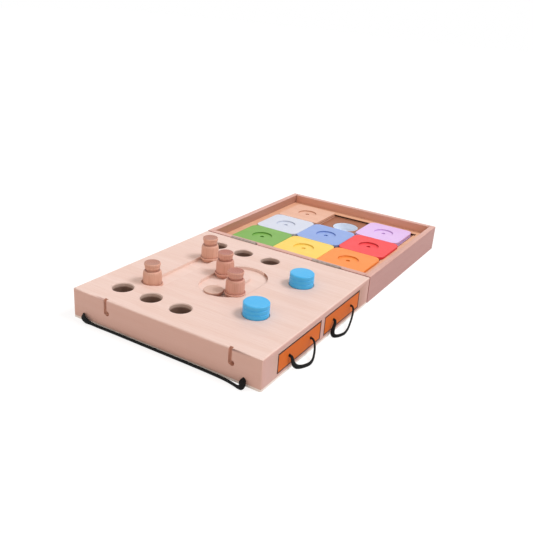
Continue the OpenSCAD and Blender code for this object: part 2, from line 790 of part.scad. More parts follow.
drawer_tray(1);  // far_drawer_tray
drawer_cord(1, far_lean);  // far_drawer_cord
drawer_knots(1);  // far_drawer_knots
side_rail(-1);  // tray_left_rail
side_rail(1);  // tray_right_rail
near_rail();  // tray_near_rail
far_rail();  // tray_far_rail
tray_panel();
tray_screws();
tray_floor();
well_strip(-tray_in_d / 2, -tile_pitch / 2);  // near_well_strip
well_strip(-tile_pitch / 2, tile_pitch / 2);  // middle_well_strip
well_strip(tile_pitch / 2, tray_in_d / 2);  // far_well_strip
tile_surround();
treat_cups();
tray_leaf(0);  // left_hinge_tray_leaf
tray_leaf(1);  // right_hinge_tray_leaf
hinge_screws();  // hinge_tray_screws
tile(-1, -1, "#7fb25a", tile_round);  // green_tile
tile(0, -1, "#fbdc72", tile_round);  // yellow_tile
tile(1, -1, "#fb9c58", tile_round);  // orange_tile
tile(-1, 0, "#e4e6f0", tile_round);  // white_tile
tile(0, 0, "#9bb3e6", tile_round);  // blue_tile
tile(1, 0, "#f4545a", tile_round);  // red_tile
tile(-1, 1, beech, plain_round);  // plain_tile
tile(1, 1, "#e0c0ea", tile_round, -lilac_shift);  // lilac_tile
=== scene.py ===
import json
import math

import bmesh
import bpy
from mathutils import Matrix, Vector


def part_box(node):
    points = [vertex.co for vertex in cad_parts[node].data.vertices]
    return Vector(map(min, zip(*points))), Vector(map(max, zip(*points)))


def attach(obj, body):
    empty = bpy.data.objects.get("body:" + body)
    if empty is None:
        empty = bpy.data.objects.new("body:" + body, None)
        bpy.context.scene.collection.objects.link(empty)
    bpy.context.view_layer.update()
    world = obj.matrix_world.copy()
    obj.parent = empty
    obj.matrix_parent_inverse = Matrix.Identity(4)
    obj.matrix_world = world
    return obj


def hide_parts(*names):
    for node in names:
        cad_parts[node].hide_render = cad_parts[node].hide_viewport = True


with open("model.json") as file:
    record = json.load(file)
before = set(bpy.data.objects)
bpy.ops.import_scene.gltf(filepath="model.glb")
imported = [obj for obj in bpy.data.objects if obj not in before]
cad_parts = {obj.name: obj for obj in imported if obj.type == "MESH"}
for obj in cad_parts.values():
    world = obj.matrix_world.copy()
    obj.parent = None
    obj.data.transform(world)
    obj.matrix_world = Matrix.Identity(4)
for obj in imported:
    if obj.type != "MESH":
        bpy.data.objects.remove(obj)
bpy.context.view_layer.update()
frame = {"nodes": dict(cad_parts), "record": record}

# A wooden treat puzzle for a dog: a peg box and a tile tray, hinged together, lying open.
# Metres, in the CAD frame: +X right, +Y from the peg box to the tray, +Z up.

MM = 0.001
BODY_OF = {node: body for body, nodes in frame["record"]["behaviour"]["bodies"].items() for node in nodes}

# Sizes and places of the CAD parts that more than one function needs
HALF_W = 140 * MM               # half the board's width
FRONT_Y = -280.6 * MM           # the peg box's front face
TRAY_Y = 140.6 * MM             # the tile tray's middle; the peg box's is as far the other way
TILE_PITCH = 77 * MM

# Typical refractive indices of the finishes
OILED_WOOD_IOR = 1.46
PAINT_IOR = 1.48
PLASTIC_IOR = 1.49


# ---- Camera: the photograph's viewpoint ----

def add_camera():
    """Look down on the near right corner of the peg box, from a fitted viewpoint."""
    right = Vector((0.8477, 0.5261, 0.0674)).normalized()
    back = Vector((0.4635, -0.7965, 0.3883))
    back = (back - back.dot(right) * right).normalized()
    up = back.cross(right)
    data = bpy.data.cameras.new("photo camera")
    data.sensor_width = 36.0
    data.lens = 44.58
    camera = bpy.data.objects.new("photo camera", data)
    turn = Matrix((right, up, back)).transposed().to_4x4()
    camera.matrix_world = Matrix.Translation((0.4379, -0.7999, 0.3990)) @ turn
    bpy.context.scene.collection.objects.link(camera)
    bpy.context.scene.camera = camera


# ---- Material tools ----

def linear(code, alpha=1.0):
    """An sRGB hex colour as linear RGBA."""
    channels = [int(code[i:i + 2], 16) / 255 for i in (1, 3, 5)]
    return (*[c / 12.92 if c <= 0.04045 else ((c + 0.055) / 1.055) ** 2.4 for c in channels], alpha)


def add(tree, kind, inputs=None, **settings):
    """Add a node with its settings; each input is a value or another node's output socket."""
    node = tree.nodes.new(kind)
    for key, value in settings.items():
        setattr(node, key, value)
    for key, value in (inputs or {}).items():
        if isinstance(value, bpy.types.NodeSocket):
            tree.links.new(value, node.inputs[key])
        else:
            node.inputs[key].default_value = value
    return node


def start_material(name):
    """An empty node material with its output and a principled shader."""
    material = bpy.data.materials.new(name)
    material.use_nodes = True
    tree = material.node_tree
    tree.nodes.clear()
    shader = add(tree, "ShaderNodeBsdfPrincipled")
    add(tree, "ShaderNodeOutputMaterial", {"Surface": shader.outputs["BSDF"]})
    return material, tree, shader


def blend_colours(tree, factor, first, second):
    """Colour output that goes from first to second as factor goes from 0 to 1."""
    mix = add(tree, "ShaderNodeMix", {0: factor, 6: first, 7: second}, data_type="RGBA")
    return mix.outputs[2]


# How a pattern is stretched along the grain, per metre: along it and across it
BROAD_FIGURE = (5.0, 70.0)      # bands of growth, 14 mm wide and 200 mm long
FINE_STREAK = (22.0, 650.0)     # fibres, drawn 1.5 mm wide because real ones don't show
RAY_FLECK = (190.0, 1150.0)     # beech's dark flecks, 1 mm wide and 5 mm long
TURNED_FIBRE = (30.0, 900.0)    # fibres up a turned peg, 1.1 mm wide and 33 mm long
ROLLING_LINES = (60.0, 2500.0)  # lines of rolled steel sheet, 0.4 mm wide and 17 mm long


def along_grain(tree, place, stretch, grain):
    """Object coordinates scaled so that a noise of scale 1 runs along the grain."""
    along, across = stretch
    scale = [along if axis == grain else across for axis in "XYZ"]
    return add(tree, "ShaderNodeMapping", {"Vector": place, "Scale": scale}).outputs["Vector"]


def wood(name, face, deep, side, end, grain="X", fleck=0.35, rough=0.5, figure=0.55):
    """Sanded wood: growth bands, fibres and ray flecks along the grain, darker end grain, and upright
    faces painted deeper than the top as painted shade.
    """
    material, tree, shader = start_material(name)
    source = add(tree, "ShaderNodeTexCoord")
    place = source.outputs["Object"]
    bands = add(tree, "ShaderNodeTexNoise", {
        "Vector": along_grain(tree, place, BROAD_FIGURE, grain),
        "Scale": 1.0, "Detail": 3.0, "Roughness": 0.55, "Distortion": 0.7})
    fibres = add(tree, "ShaderNodeTexNoise", {
        "Vector": along_grain(tree, place, FINE_STREAK, grain),
        "Scale": 1.0, "Detail": 2.0, "Roughness": 0.6, "Distortion": 0.2})
    rays = add(tree, "ShaderNodeTexNoise", {
        "Vector": along_grain(tree, place, RAY_FLECK, grain),
        "Scale": 1.0, "Detail": 1.0, "Roughness": 0.5, "Distortion": 0.0})
    band = add(tree, "ShaderNodeMapRange", {
        "Value": bands.outputs["Fac"], "From Min": 0.36, "From Max": 0.66, "To Max": figure})
    fibre = add(tree, "ShaderNodeMapRange", {
        "Value": fibres.outputs["Fac"], "From Min": 0.4, "From Max": 0.68, "To Max": 0.42 * figure})
    flecks = add(tree, "ShaderNodeMapRange", {
        "Value": rays.outputs["Fac"], "From Min": 0.6, "From Max": 0.7, "To Max": fleck})
    tone = blend_colours(tree, band.outputs["Result"], linear(face), linear(deep))
    tone = blend_colours(tree, fibre.outputs["Result"], tone, linear(side))
    tone = blend_colours(tree, flecks.outputs["Result"], tone, linear(end))
    # painted shade: the board's upright faces are painted a shade deeper than its top, and the top paler,
    # in place of the shade on the sides and the glare on the top
    facing = add(tree, "ShaderNodeVectorMath", {0: source.outputs["Normal"]}, operation="ABSOLUTE")
    parts = add(tree, "ShaderNodeSeparateXYZ", {"Vector": facing.outputs["Vector"]})
    upright = add(tree, "ShaderNodeMapRange", {
        "Value": parts.outputs["Z"], "From Min": 0.85, "From Max": 0.2, "To Max": 0.75})
    tone = blend_colours(tree, upright.outputs["Result"], tone, linear(side))
    cut = add(tree, "ShaderNodeMapRange", {
        "Value": parts.outputs[grain], "From Min": 0.75, "From Max": 0.95, "To Max": 0.7})
    tone = blend_colours(tree, cut.outputs["Result"], tone, linear(end))
    relief = add(tree, "ShaderNodeMath", {
        0: fibres.outputs["Fac"], 1: rays.outputs["Fac"]}, operation="ADD")
    bump = add(tree, "ShaderNodeBump", {
        "Height": relief.outputs["Value"], "Strength": 0.22, "Distance": 0.15 * MM})
    gloss = add(tree, "ShaderNodeMapRange", {
        "Value": fibres.outputs["Fac"], "To Min": rough - 0.06, "To Max": rough + 0.1})
    tree.links.new(tone, shader.inputs["Base Color"])
    tree.links.new(gloss.outputs["Result"], shader.inputs["Roughness"])
    tree.links.new(bump.outputs["Normal"], shader.inputs["Normal"])
    shader.inputs["IOR"].default_value = OILED_WOOD_IOR
    return material


def drilled_wood():
    """A bored hole's wall: pale for its top 4 mm, then painted dark brown below as painted shade, with
    faint drill rings.
    """
    material, tree, shader = start_material("beech bore wall painted darker below as shade")
    place = add(tree, "ShaderNodeTexCoord").outputs["Object"]
    height = add(tree, "ShaderNodeSeparateXYZ", {"Vector": place}).outputs["Z"]
    fibres = add(tree, "ShaderNodeTexNoise", {
        "Vector": along_grain(tree, place, FINE_STREAK, "X"), "Scale": 1.0, "Detail": 2.0})
    wavy = add(tree, "ShaderNodeMath", {
        0: fibres.outputs["Fac"], 1: 1.2 * MM, 2: height}, operation="MULTIPLY_ADD")
    # painted shade: below its top 4 mm the wall is painted dark brown, for the shade deep in the hole
    deep = add(tree, "ShaderNodeMapRange", {
        "Value": wavy.outputs["Value"], "From Min": 36.6 * MM, "From Max": 34.4 * MM})
    tone = blend_colours(tree, fibres.outputs["Fac"], linear("#8a6e60"), linear("#735a4e"))
    tone = blend_colours(tree, deep.outputs["Result"], linear("#cfb5a8"), tone)
    rings = add(tree, "ShaderNodeTexWave", {
        "Vector": place, "Scale": 320.0, "Distortion": 0.4}, wave_type="BANDS", bands_direction="Z")
    bump = add(tree, "ShaderNodeBump", {
        "Height": rings.outputs["Fac"], "Strength": 0.2, "Distance": 0.1 * MM})
    tree.links.new(tone, shader.inputs["Base Color"])
    tree.links.new(bump.outputs["Normal"], shader.inputs["Normal"])
    shader.inputs["Roughness"].default_value = 0.6
    shader.inputs["IOR"].default_value = OILED_WOOD_IOR
    return material


# painted shade: how wide the dark band is round a drawer front, for the shade in the gap round it
GAP_SHADE_BAND = 1.4 * MM


def edge_band(tree, place, low, high, width):
    """1 within width of the outline of a box's face seen along X, else 0."""
    parts = add(tree, "ShaderNodeSeparateXYZ", {"Vector": place})
    nearest = []
    for axis, socket in ((1, "Y"), (2, "Z")):
        away = add(tree, "ShaderNodeMath", {
            0: parts.outputs[socket], 1: (low[axis] + high[axis]) / 2}, operation="SUBTRACT")
        away = add(tree, "ShaderNodeMath", {0: away.outputs["Value"]}, operation="ABSOLUTE")
        past = add(tree, "ShaderNodeMath", {
            0: away.outputs["Value"], 1: (high[axis] - low[axis]) / 2}, operation="SUBTRACT")
        nearest.append(past.outputs["Value"])
    outline = add(tree, "ShaderNodeMath", {0: nearest[0], 1: nearest[1]}, operation="MAXIMUM")
    band = add(tree, "ShaderNodeMapRange", {
        "Value": outline.outputs["Value"], "From Min": -1.25 * width, "From Max": -0.85 * width})
    return band.outputs["Result"]


def painted_wood(name, colour, worn, rough=0.42, turned=None, specular=0.5, gap_shade=None):
    """Satin water paint on wood: an even coat, with the fibres or the turning lines under it.

    The drawer front's lowest and highest corner, if given, puts a dark band round the face's outline: a
    painted shade for the gap round the drawer.
    """
    material, tree, shader = start_material(name)
    source = add(tree, "ShaderNodeTexCoord")
    coat = add(tree, "ShaderNodeTexNoise", {
        "Vector": source.outputs["Object"], "Scale": 45.0, "Detail": 3.0, "Roughness": 0.6})
    thin = add(tree, "ShaderNodeMapRange", {
        "Value": coat.outputs["Fac"], "From Min": 0.45, "From Max": 0.75, "To Max": 0.4})
    fibres = add(tree, "ShaderNodeTexNoise", {
        "Vector": along_grain(tree, source.outputs["Object"], FINE_STREAK, "X"),
        "Scale": 1.0, "Detail": 2.0, "Roughness": 0.6})
    streak = add(tree, "ShaderNodeMapRange", {
        "Value": fibres.outputs["Fac"], "From Min": 0.5, "From Max": 0.75, "To Max": 0.22})
    tone = blend_colours(tree, thin.outputs["Result"], linear(colour), linear(worn))
    tone = blend_colours(tree, streak.outputs["Result"], tone, linear(worn))
    # painted shade: a dark band round the drawer front's outline
    if gap_shade:
        band = edge_band(tree, source.outputs["Object"], *gap_shade, GAP_SHADE_BAND)
        tone = blend_colours(tree, band, tone, linear("#4a2314"))
    height = fibres.outputs["Fac"]
    if turned:
        # lines that the lathe tool left, 1.6 mm apart round the piece's own axis
        centred = add(tree, "ShaderNodeMapping", {
            "Vector": source.outputs["Object"], "Location": (-turned[0], -turned[1], 0.0)})
        rings = add(tree, "ShaderNodeTexWave", {
            "Vector": centred.outputs["Vector"], "Scale": 100.0, "Distortion": 0.3},
            wave_type="RINGS", rings_direction="Z")
        height = rings.outputs["Fac"]
    bump = add(tree, "ShaderNodeBump", {"Height": height, "Strength": 0.2, "Distance": 0.12 * MM})
    gloss = add(tree, "ShaderNodeMapRange", {
        "Value": coat.outputs["Fac"], "To Min": rough - 0.05, "To Max": rough + 0.09})
    tree.links.new(tone, shader.inputs["Base Color"])
    tree.links.new(gloss.outputs["Result"], shader.inputs["Roughness"])
    tree.links.new(bump.outputs["Normal"], shader.inputs["Normal"])
    shader.inputs["IOR"].default_value = PAINT_IOR
    shader.inputs["Specular IOR Level"].default_value = specular
    return material


# A peg's body and fibres, then its head and rings; the oval's two pegs are cut from redder wood
PALE_PEG = ("#e2b19c", "#cd9880", "#bb8776", "#a87562")
RED_PEG = ("#d9a28f", "#c48b75", "#b7786b", "#a46858")


def turned_beech(name, centre, tints):
    """Beech turned on a lathe: fibres up the peg, darker ringed end grain on its head."""
    material, tree, shader = start_material(name)
    source = add(tree, "ShaderNodeTexCoord")
    place = source.outputs["Object"]
    centred = add(tree, "ShaderNodeMapping", {"Vector": place, "Location": (-centre[0], -centre[1], 0.0)})
    fibres = add(tree, "ShaderNodeTexNoise", {
        "Vector": along_grain(tree, place, TURNED_FIBRE, "Z"), "Scale": 1.0, "Detail": 2.0})
    fibre = add(tree, "ShaderNodeMapRange", {
        "Value": fibres.outputs["Fac"], "From Min": 0.4, "From Max": 0.68, "To Max": 0.6})
    tone = blend_colours(tree, fibre.outputs["Result"], linear(tints[0]), linear(tints[1]))
    # growth rings on the head, 1.5 mm apart
    rings = add(tree, "ShaderNodeTexWave", {
        "Vector": add(tree, "ShaderNodeMapping", {
            "Vector": centred.outputs["Vector"], "Location": (0.004, 0.003, 0.0)}).outputs["Vector"],
        "Scale": 105.0, "Distortion": 1.5, "Detail": 2.0, "Detail Scale": 1.0},
        wave_type="RINGS", rings_direction="Z")
    ring = add(tree, "ShaderNodeMapRange", {"Value": rings.outputs["Fac"], "To Max": 0.55})
    head = blend_colours(tree, ring.outputs["Result"], linear(tints[2]), linear(tints[3]))
    facing = add(tree, "ShaderNodeSeparateXYZ", {"Vector": source.outputs["Normal"]})
    up = add(tree, "ShaderNodeMapRange", {
        "Value": facing.outputs["Z"], "From Min": 0.8, "From Max": 0.95, "To Max": 1.0})
    tone = blend_colours(tree, up.outputs["Result"], tone, head)
    # faint tool lines round the body, 1 mm apart
    lines = add(tree, "ShaderNodeTexWave", {
        "Vector": place, "Scale": 160.0, "Distortion": 0.6}, wave_type="BANDS", bands_direction="Z")
    relief = add(tree, "ShaderNodeMath", {
        0: lines.outputs["Fac"], 1: fibres.outputs["Fac"]}, operation="ADD")
    bump = add(tree, "ShaderNodeBump", {
        "Height": relief.outputs["Value"], "Strength": 0.16, "Distance": 0.15 * MM})
    gloss = add(tree, "ShaderNodeMapRange", {
        "Value": fibres.outputs["Fac"], "To Min": 0.4, "To Max": 0.56})
    tree.links.new(tone, shader.inputs["Base Color"])
    tree.links.new(gloss.outputs["Result"], shader.inputs["Roughness"])
    tree.links.new(bump.outputs["Normal"], shader.inputs["Normal"])
    shader.inputs["IOR"].default_value = OILED_WOOD_IOR
    return material


def moulded_plastic():
    """Injection-moulded polypropylene: clean white and a soft sheen."""
    material, tree, shader = start_material("white moulded polypropylene")
    source = add(tree, "ShaderNodeTexCoord")
    skin = add(tree, "ShaderNodeTexNoise", {
        "Vector": source.outputs["Object"], "Scale": 900.0, "Detail": 2.0})
    bump = add(tree, "ShaderNodeBump", {
        "Height": skin.outputs["Fac"], "Strength": 0.06, "Distance": 0.05 * MM})
    gloss = add(tree, "ShaderNodeMapRange", {"Value": skin.outputs["Fac"], "To Min": 0.26, "To Max": 0.4})
    tree.links.new(gloss.outputs["Result"], shader.inputs["Roughness"])
    tree.links.new(bump.outputs["Normal"], shader.inputs["Normal"])
    shader.inputs["Base Color"].default_value = linear("#e6f1fe")
    shader.inputs["IOR"].default_value = PLASTIC_IOR
    return material


def plated_steel():
    """Zinc-plated pressed steel: dull grey with rolling lines along X and small cloudy patches."""
    material, tree, shader = start_material("dull zinc-plated steel")
    source = add(tree, "ShaderNodeTexCoord")
    rolled = add(tree, "ShaderNodeTexNoise", {
        "Vector": along_grain(tree, source.outputs["Object"], ROLLING_LINES, "X"),
        "Scale": 1.0, "Detail": 2.0})
    clouds = add(tree, "ShaderNodeTexNoise", {
        "Vector": source.outputs["Object"], "Scale": 260.0, "Detail": 3.0})
    patch = add(tree, "ShaderNodeMapRange", {
        "Value": clouds.outputs["Fac"], "From Min": 0.4, "From Max": 0.7, "To Max": 0.6})
    tone = blend_colours(tree, patch.outputs["Result"], linear("#b5a79f"), linear("#8a7c75"))
    bump = add(tree, "ShaderNodeBump", {
        "Height": rolled.outputs["Fac"], "Strength": 0.15, "Distance": 0.04 * MM})
    gloss = add(tree, "ShaderNodeMapRange", {
        "Value": clouds.outputs["Fac"], "To Min": 0.42, "To Max": 0.6})
    tree.links.new(tone, shader.inputs["Base Color"])
    tree.links.new(gloss.outputs["Result"], shader.inputs["Roughness"])
    tree.links.new(bump.outputs["Normal"], shader.inputs["Normal"])
    shader.inputs["Metallic"].default_value = 1.0
    return material


YARNS = 6.0                     # how many yarns of the cover run each way round the cord


def braided_cord():
    """Elastic cord in a braided polyester cover: two sets of yarns cross round it every 2 mm."""
    material, tree, shader = start_material("black braided polyester cover")
    source = add(tree, "ShaderNodeTexCoord")
    parts = add(tree, "ShaderNodeSeparateXYZ", {"Vector": source.outputs["UV"]})
    # u counts braid pitches along the cord, and v goes once round it
    around = add(tree, "ShaderNodeMath", {0: parts.outputs["Y"], 1: YARNS}, operation="MULTIPLY")
    waves = []
    for way in ("ADD", "SUBTRACT"):
        phase = add(tree, "ShaderNodeMath", {
            0: parts.outputs["X"], 1: around.outputs["Value"]}, operation=way)
        turn = add(tree, "ShaderNodeMath", {
            0: phase.outputs["Value"], 1: 2 * math.pi}, operation="MULTIPLY")
        wave = add(tree, "ShaderNodeMath", {0: turn.outputs["Value"]}, operation="SINE")
        waves.append(wave.outputs["Value"])
    height = add(tree, "ShaderNodeMath", {0: waves[0], 1: waves[1]}, operation="MAXIMUM")
    lit = add(tree, "ShaderNodeMapRange", {
        "Value": height.outputs["Value"], "From Min": -0.6, "From Max": 1.0})
    tone = blend_colours(tree, lit.outputs["Result"], linear("#020202"), linear("#0c0c0e"))
    bump = add(tree, "ShaderNodeBump", {
        "Height": height.outputs["Value"], "Strength": 0.8, "Distance": 0.25 * MM})
    tree.links.new(tone, shader.inputs["Base Color"])
    tree.links.new(bump.outputs["Normal"], shader.inputs["Normal"])
    shader.inputs["Roughness"].default_value = 0.78
    shader.inputs["Specular IOR Level"].default_value = 0.25
    shader.inputs["Sheen Weight"].default_value = 0.02
    shader.inputs["Sheen Roughness"].default_value = 0.5
    return material


# ---- Pieces ----

def new_object(name, mesh, material, body, nodes=()):
    """Put a finished mesh in the scene on its body, standing for its CAD nodes."""
    mesh.materials.clear()
    mesh.materials.append(material)
    piece = bpy.data.objects.new(name, mesh)
    bpy.context.scene.collection.objects.link(piece)
    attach(piece, body)
    if nodes:
        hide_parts(*nodes)
    return piece


def smooth(mesh, angle=34):
    """Shade round faces smooth and leave real edges sharp."""
    mesh.shade_smooth()
    mesh.set_sharp_from_angle(angle=math.radians(angle))


def even_shading(piece):
    """Let flat faces set the normals where they meet a rounded edge, so that they look flat."""
    normals = piece.modifiers.new("even shading", "WEIGHTED_NORMAL")
    normals.mode = "FACE_AREA"
    normals.weight = 80
    normals.keep_sharp = True


def finished(name, nodes, material, ease=0.0, seams=(), others=(), edge_slot=-1):
    """A merged copy of CAD nodes with smooth round faces and, if asked, lightly sanded edges.

    seams are planes as (axis, place) where two nodes are glued: the hidden faces there go.
    others are (material, test) for the faces whose centre and normal pass the test.
    """
    shape = bmesh.new()
    for node in nodes:
        shape.from_mesh(frame["nodes"][node].data)
    bmesh.ops.remove_doubles(shape, verts=shape.verts, dist=0.003 * MM)
    hidden = [f for f in shape.faces for axis, place in seams
              if all(abs(v.co[axis] - place) < 0.01 * MM for v in f.verts)]
    bmesh.ops.delete(shape, geom=list(set(hidden)), context="FACES")
    bmesh.ops.dissolve_limit(shape, angle_limit=math.radians(0.5), verts=shape.verts, edges=shape.edges)
    shape.normal_update()
    picked = []
    for face in shape.faces:
        place, normal = face.calc_center_median() / MM, face.normal
        picked.append(next((i + 1 for i, (_, test) in enumerate(others) if test(place, normal)), 0))
    mesh = bpy.data.meshes.new(name)
    shape.to_mesh(mesh)
    shape.free()
    smooth(mesh)
    piece = new_object(name, mesh, material, BODY_OF[nodes[0]], nodes)
    for other, _ in others:
        mesh.materials.append(other)
    mesh.polygons.foreach_set("material_index", picked)
    if ease:
        edge = piece.modifiers.new("sanded edges", "BEVEL")
        edge.width = ease * MM
        edge.segments = 2
        edge.limit_method = "ANGLE"
        edge.angle_limit = math.radians(40)
        edge.material = edge_slot
    even_shading(piece)
    return piece


# ---- Cords: woven elastic tubes along the same routes as the CAD ----

def curve_through(points, steps=6):
    """More points on a smooth line through the given ones."""
    line = []
    for i in range(len(points) - 1):
        a, b, c, d = (points[min(max(i + k, 0), len(points) - 1)] for k in (-1, 0, 1, 2))
        for k in range(steps):
            t = k / steps
            line.append(0.5 * ((2 * b) + (c - a) * t + (2 * a - 5 * b + 4 * c - d) * t ** 2
                               + (3 * b - a - 3 * c + d) * t ** 3))
    return line + [points[-1]]


def tube(line, half_w, half_t, pitch, wide=None, sides=16):
    """A closed tube mesh along a line, oval in section: half_w(share) wide and half_t thick.

    wide is the direction of its width at the start. Its UV map counts pitches along it and
    turns round it.
    """
    shape = bmesh.new()
    uv = shape.loops.layers.uv.new("braid")
    rings, lengths, across, run = [], [], wide, 0.0
    for i, place in enumerate(line):
        ahead = (line[min(i + 1, len(line) - 1)] - line[max(i - 1, 0)]).normalized()
        across = across or ahead.orthogonal()
        across = (across - across.dot(ahead) * ahead).normalized()
        other = ahead.cross(across)
        run += (place - line[i - 1]).length if i else 0.0
        lengths.append(run / pitch)
        reach = half_w(i / (len(line) - 1))
        rings.append([shape.verts.new(place + reach * math.cos(a) * across + half_t * math.sin(a) * other)
                      for a in (2 * math.pi * k / sides for k in range(sides))])
    for i in range(len(rings) - 1):
        for k in range(sides):
            after = (k + 1) % sides
            face = shape.faces.new((rings[i][k], rings[i][after], rings[i + 1][after], rings[i + 1][k]))
            corners = ((i, k), (i, k + 1), (i + 1, k + 1), (i + 1, k))
            for loop, (ring, step) in zip(face.loops, corners):
                loop[uv].uv = (lengths[ring], step / sides)
    shape.faces.new(list(reversed(rings[0])))
    shape.faces.new(rings[-1])
    mesh = bpy.data.meshes.new("tube")
    shape.to_mesh(mesh)
    shape.free()
    smooth(mesh, 60)
    return mesh


KNOT_OUT = 2.4 * MM             # from a cord's end to the middle of its knot
KNOT_STRAND = 1.15 * MM         # half the cord's thickness where a knot squeezes it
KNOT_STEPS = 72


def add_knot(name, node, places, axis, material):
    """Overhand knots pulled tight: a trefoil of the same cord round each end."""
    shape = bmesh.new()
    side = Vector((0, 0, 1))
    over = axis.cross(side)
    for place in places:
        middle = place + axis * KNOT_OUT
        line = []
        for k in range(KNOT_STEPS + 1):
            t = 2 * math.pi * k / KNOT_STEPS
            reach = (1.75 + 0.8 * math.cos(3 * t)) * MM
            line.append(middle + reach * (math.cos(2 * t) * side + math.sin(2 * t) * over)
                        + 0.8 * MM * math.sin(3 * t) * axis)
        strand = tube(line, lambda share: KNOT_STRAND, KNOT_STRAND, BRAID_PITCH, sides=10)
        shape.from_mesh(strand)
        bpy.data.meshes.remove(strand)
    mesh = bpy.data.meshes.new(name)
    shape.to_mesh(mesh)
    shape.free()
    smooth(mesh, 60)
    return new_object(name, mesh, material, BODY_OF[node], [node])


BRAID_PITCH = 2.2 * MM
CORD_REST = 0.1 * MM            # how far over the floor a cord's flattened underside lies

# From each strap hole to the middle: inward from the hole, out from the front face, height, in mm
STRAP_FROM_LEFT = [
    (0, -4, 8.5), (0, 0, 8.5), (0.9, 2.4, 8.2), (3.2, 4.2, 7.1), (6.6, 5, 5.6),
    (10.8, 5.2, 4.2), (16, 5, 3.1), (24, 4.5, 2.4), (36, 4.1, 2.2), (54, 3.8, 2.2), (95, 3.8, 2.2)]
STRAP_FROM_RIGHT = [
    (0, -4, 8.5), (0, 0, 8.5), (-0.8, 3, 8.1), (-2.2, 5.8, 6.8), (-2.8, 7.6, 5),
    (-1.8, 8.7, 3.3), (1.4, 8.9, 2.4), (6, 7.8, 2.2), (12, 6.5, 2.2), (20, 5.3, 2.2),
    (32, 4.5, 2.2), (50, 4, 2.2), (70, 3.8, 2.2), (95, 3.8, 2.2)]
STRAP_HOLES = (-HALF_W + 17.5 * MM, HALF_W - 22.5 * MM)
STRAP_DEPTH = 8.5 * MM
STRAP_HALF_T = 1.15 * MM
STRAP_WIDE = Vector((0.64, 0, 0.77))
# A drawer's loop: out from its front in mm, then shares of half the pitch and of the holes' height
LOOP = [
    (-3, -1, 1), (0, -1, 1), (2.4, -1, 0.97), (3.8, -0.99, 0.85), (4.4, -0.95, 0.62),
    (4.8, -0.88, 0.4), (5.6, -0.78, 0.2), (7.7, -0.66, 0.06), (10.6, -0.5, 0),
    (13.4, -0.26, 0), (15, 0, 0.03), (14.8, 0.25, 0.14), (13.2, 0.46, 0.32),
    (11.2, 0.64, 0.52), (8.8, 0.8, 0.72), (6, 0.92, 0.89), (3, 0.99, 0.98),
    (0, 1, 1), (-3, 1, 1)]
LOOP_HALF = 25.5 * MM
LOOP_Z = 19 * MM
LOOP_LOW = 1.7 * MM
LOOP_HALF_T = 1.3 * MM
LOOP_WIDE = Vector((0, 0.8, 0.6))
LOOP_END_X = HALF_W - 6.3 * MM
# Each drawer's middle, and how far the low part of its loop swings towards the front
DRAWERS = {"near": (FRONT_Y + 84 * MM, 0.02), "far": (FRONT_Y + 196 * MM, 0.8)}


def add_cord(name, node, points, material, half_w, half_t, wide):
    """An elastic cord through the points, knotted behind both its holes."""
    line = curve_through(points)
    mesh = tube(line, half_w, half_t, BRAID_PITCH, wide)
    mesh.name = name
    # the underside goes flat where the cord rests on the floor
    for vertex in mesh.vertices:
        vertex.co.z = max(vertex.co.z, CORD_REST)
    piece = new_object(name, mesh, material, BODY_OF[node], [node])


def strap_half_width(share):
    """The strap is pulled narrow along the front, bunches up outside its holes and fits in them."""
    near = min(share, 1 - share)
    bunch = math.exp(-((near - 0.17) / 0.085) ** 4)
    return (1.45 + 0.4 * min(1.0, near / 0.1) + 2.0 * bunch) * MM


def loop_half_width(share):
    """A drawer's loop is widest where it bends on the floor."""
    return (1.45 + 1.6 * math.exp(-((share - 0.43) / 0.22) ** 2)) * MM


def add_cords(material):
    """The strap across the front, and the two drawers' loops."""
    left, right = STRAP_HOLES
    y_in = FRONT_Y + STRAP_DEPTH
    z_in = STRAP_FROM_LEFT[0][2] * MM
    start, end = Vector((left, y_in, z_in)), Vector((right, y_in, z_in))
    route = [start]
    route += [Vector((left + a * MM, FRONT_Y - b * MM, c * MM)) for a, b, c in STRAP_FROM_LEFT]
    back = reversed(STRAP_FROM_RIGHT)
    route += [Vector((right - a * MM, FRONT_Y - b * MM, c * MM)) for a, b, c in back]
    route += [end]
    knots = add_knot("strap_knot_pair", "strap_knots", [start, end], Vector((0, 1, 0)), material)
    add_cord("front_elastic_strap", "front_strap", route, material, strap_half_width,
             STRAP_HALF_T, STRAP_WIDE)
    for side, (middle, lean) in DRAWERS.items():
        start = Vector((LOOP_END_X, middle - LOOP_HALF, LOOP_Z))
        end = Vector((LOOP_END_X, middle + LOOP_HALF, LOOP_Z))
        route = [start]
        route += [Vector((HALF_W + a * MM, middle + (b - lean * (1 - c)) * LOOP_HALF,
                          LOOP_LOW + c * (LOOP_Z - LOOP_LOW))) for a, b, c in LOOP]
        route += [end]
        knots = add_knot(side + "_loop_knots", side + "_drawer_knots", [start, end],
                         Vector((-1, 0, 0)), material)
        add_cord(side + "_drawer_loop", side + "_drawer_cord", route, material,
                 loop_half_width, LOOP_HALF_T, LOOP_WIDE)


# ---- Repeated pieces, made by geometry nodes ----

def start_group(name, sizes):
    """A geometry node group with an input for each named size and for the material."""
    tree = bpy.data.node_groups.new(name, "GeometryNodeTree")
    tree.interface.new_socket("Geometry", in_out="INPUT", socket_type="NodeSocketGeometry")
    for size in sizes:
        tree.interface.new_socket(size, in_out="INPUT", socket_type="NodeSocketFloat")
    tree.interface.new_socket("Turn", in_out="INPUT", socket_type="NodeSocketVector")
    tree.interface.new_socket("Material", in_out="INPUT", socket_type="NodeSocketMaterial")
    tree.interface.new_socket("Geometry", in_out="OUTPUT", socket_type="NodeSocketGeometry")
    return tree, add(tree, "NodeGroupInput").outputs


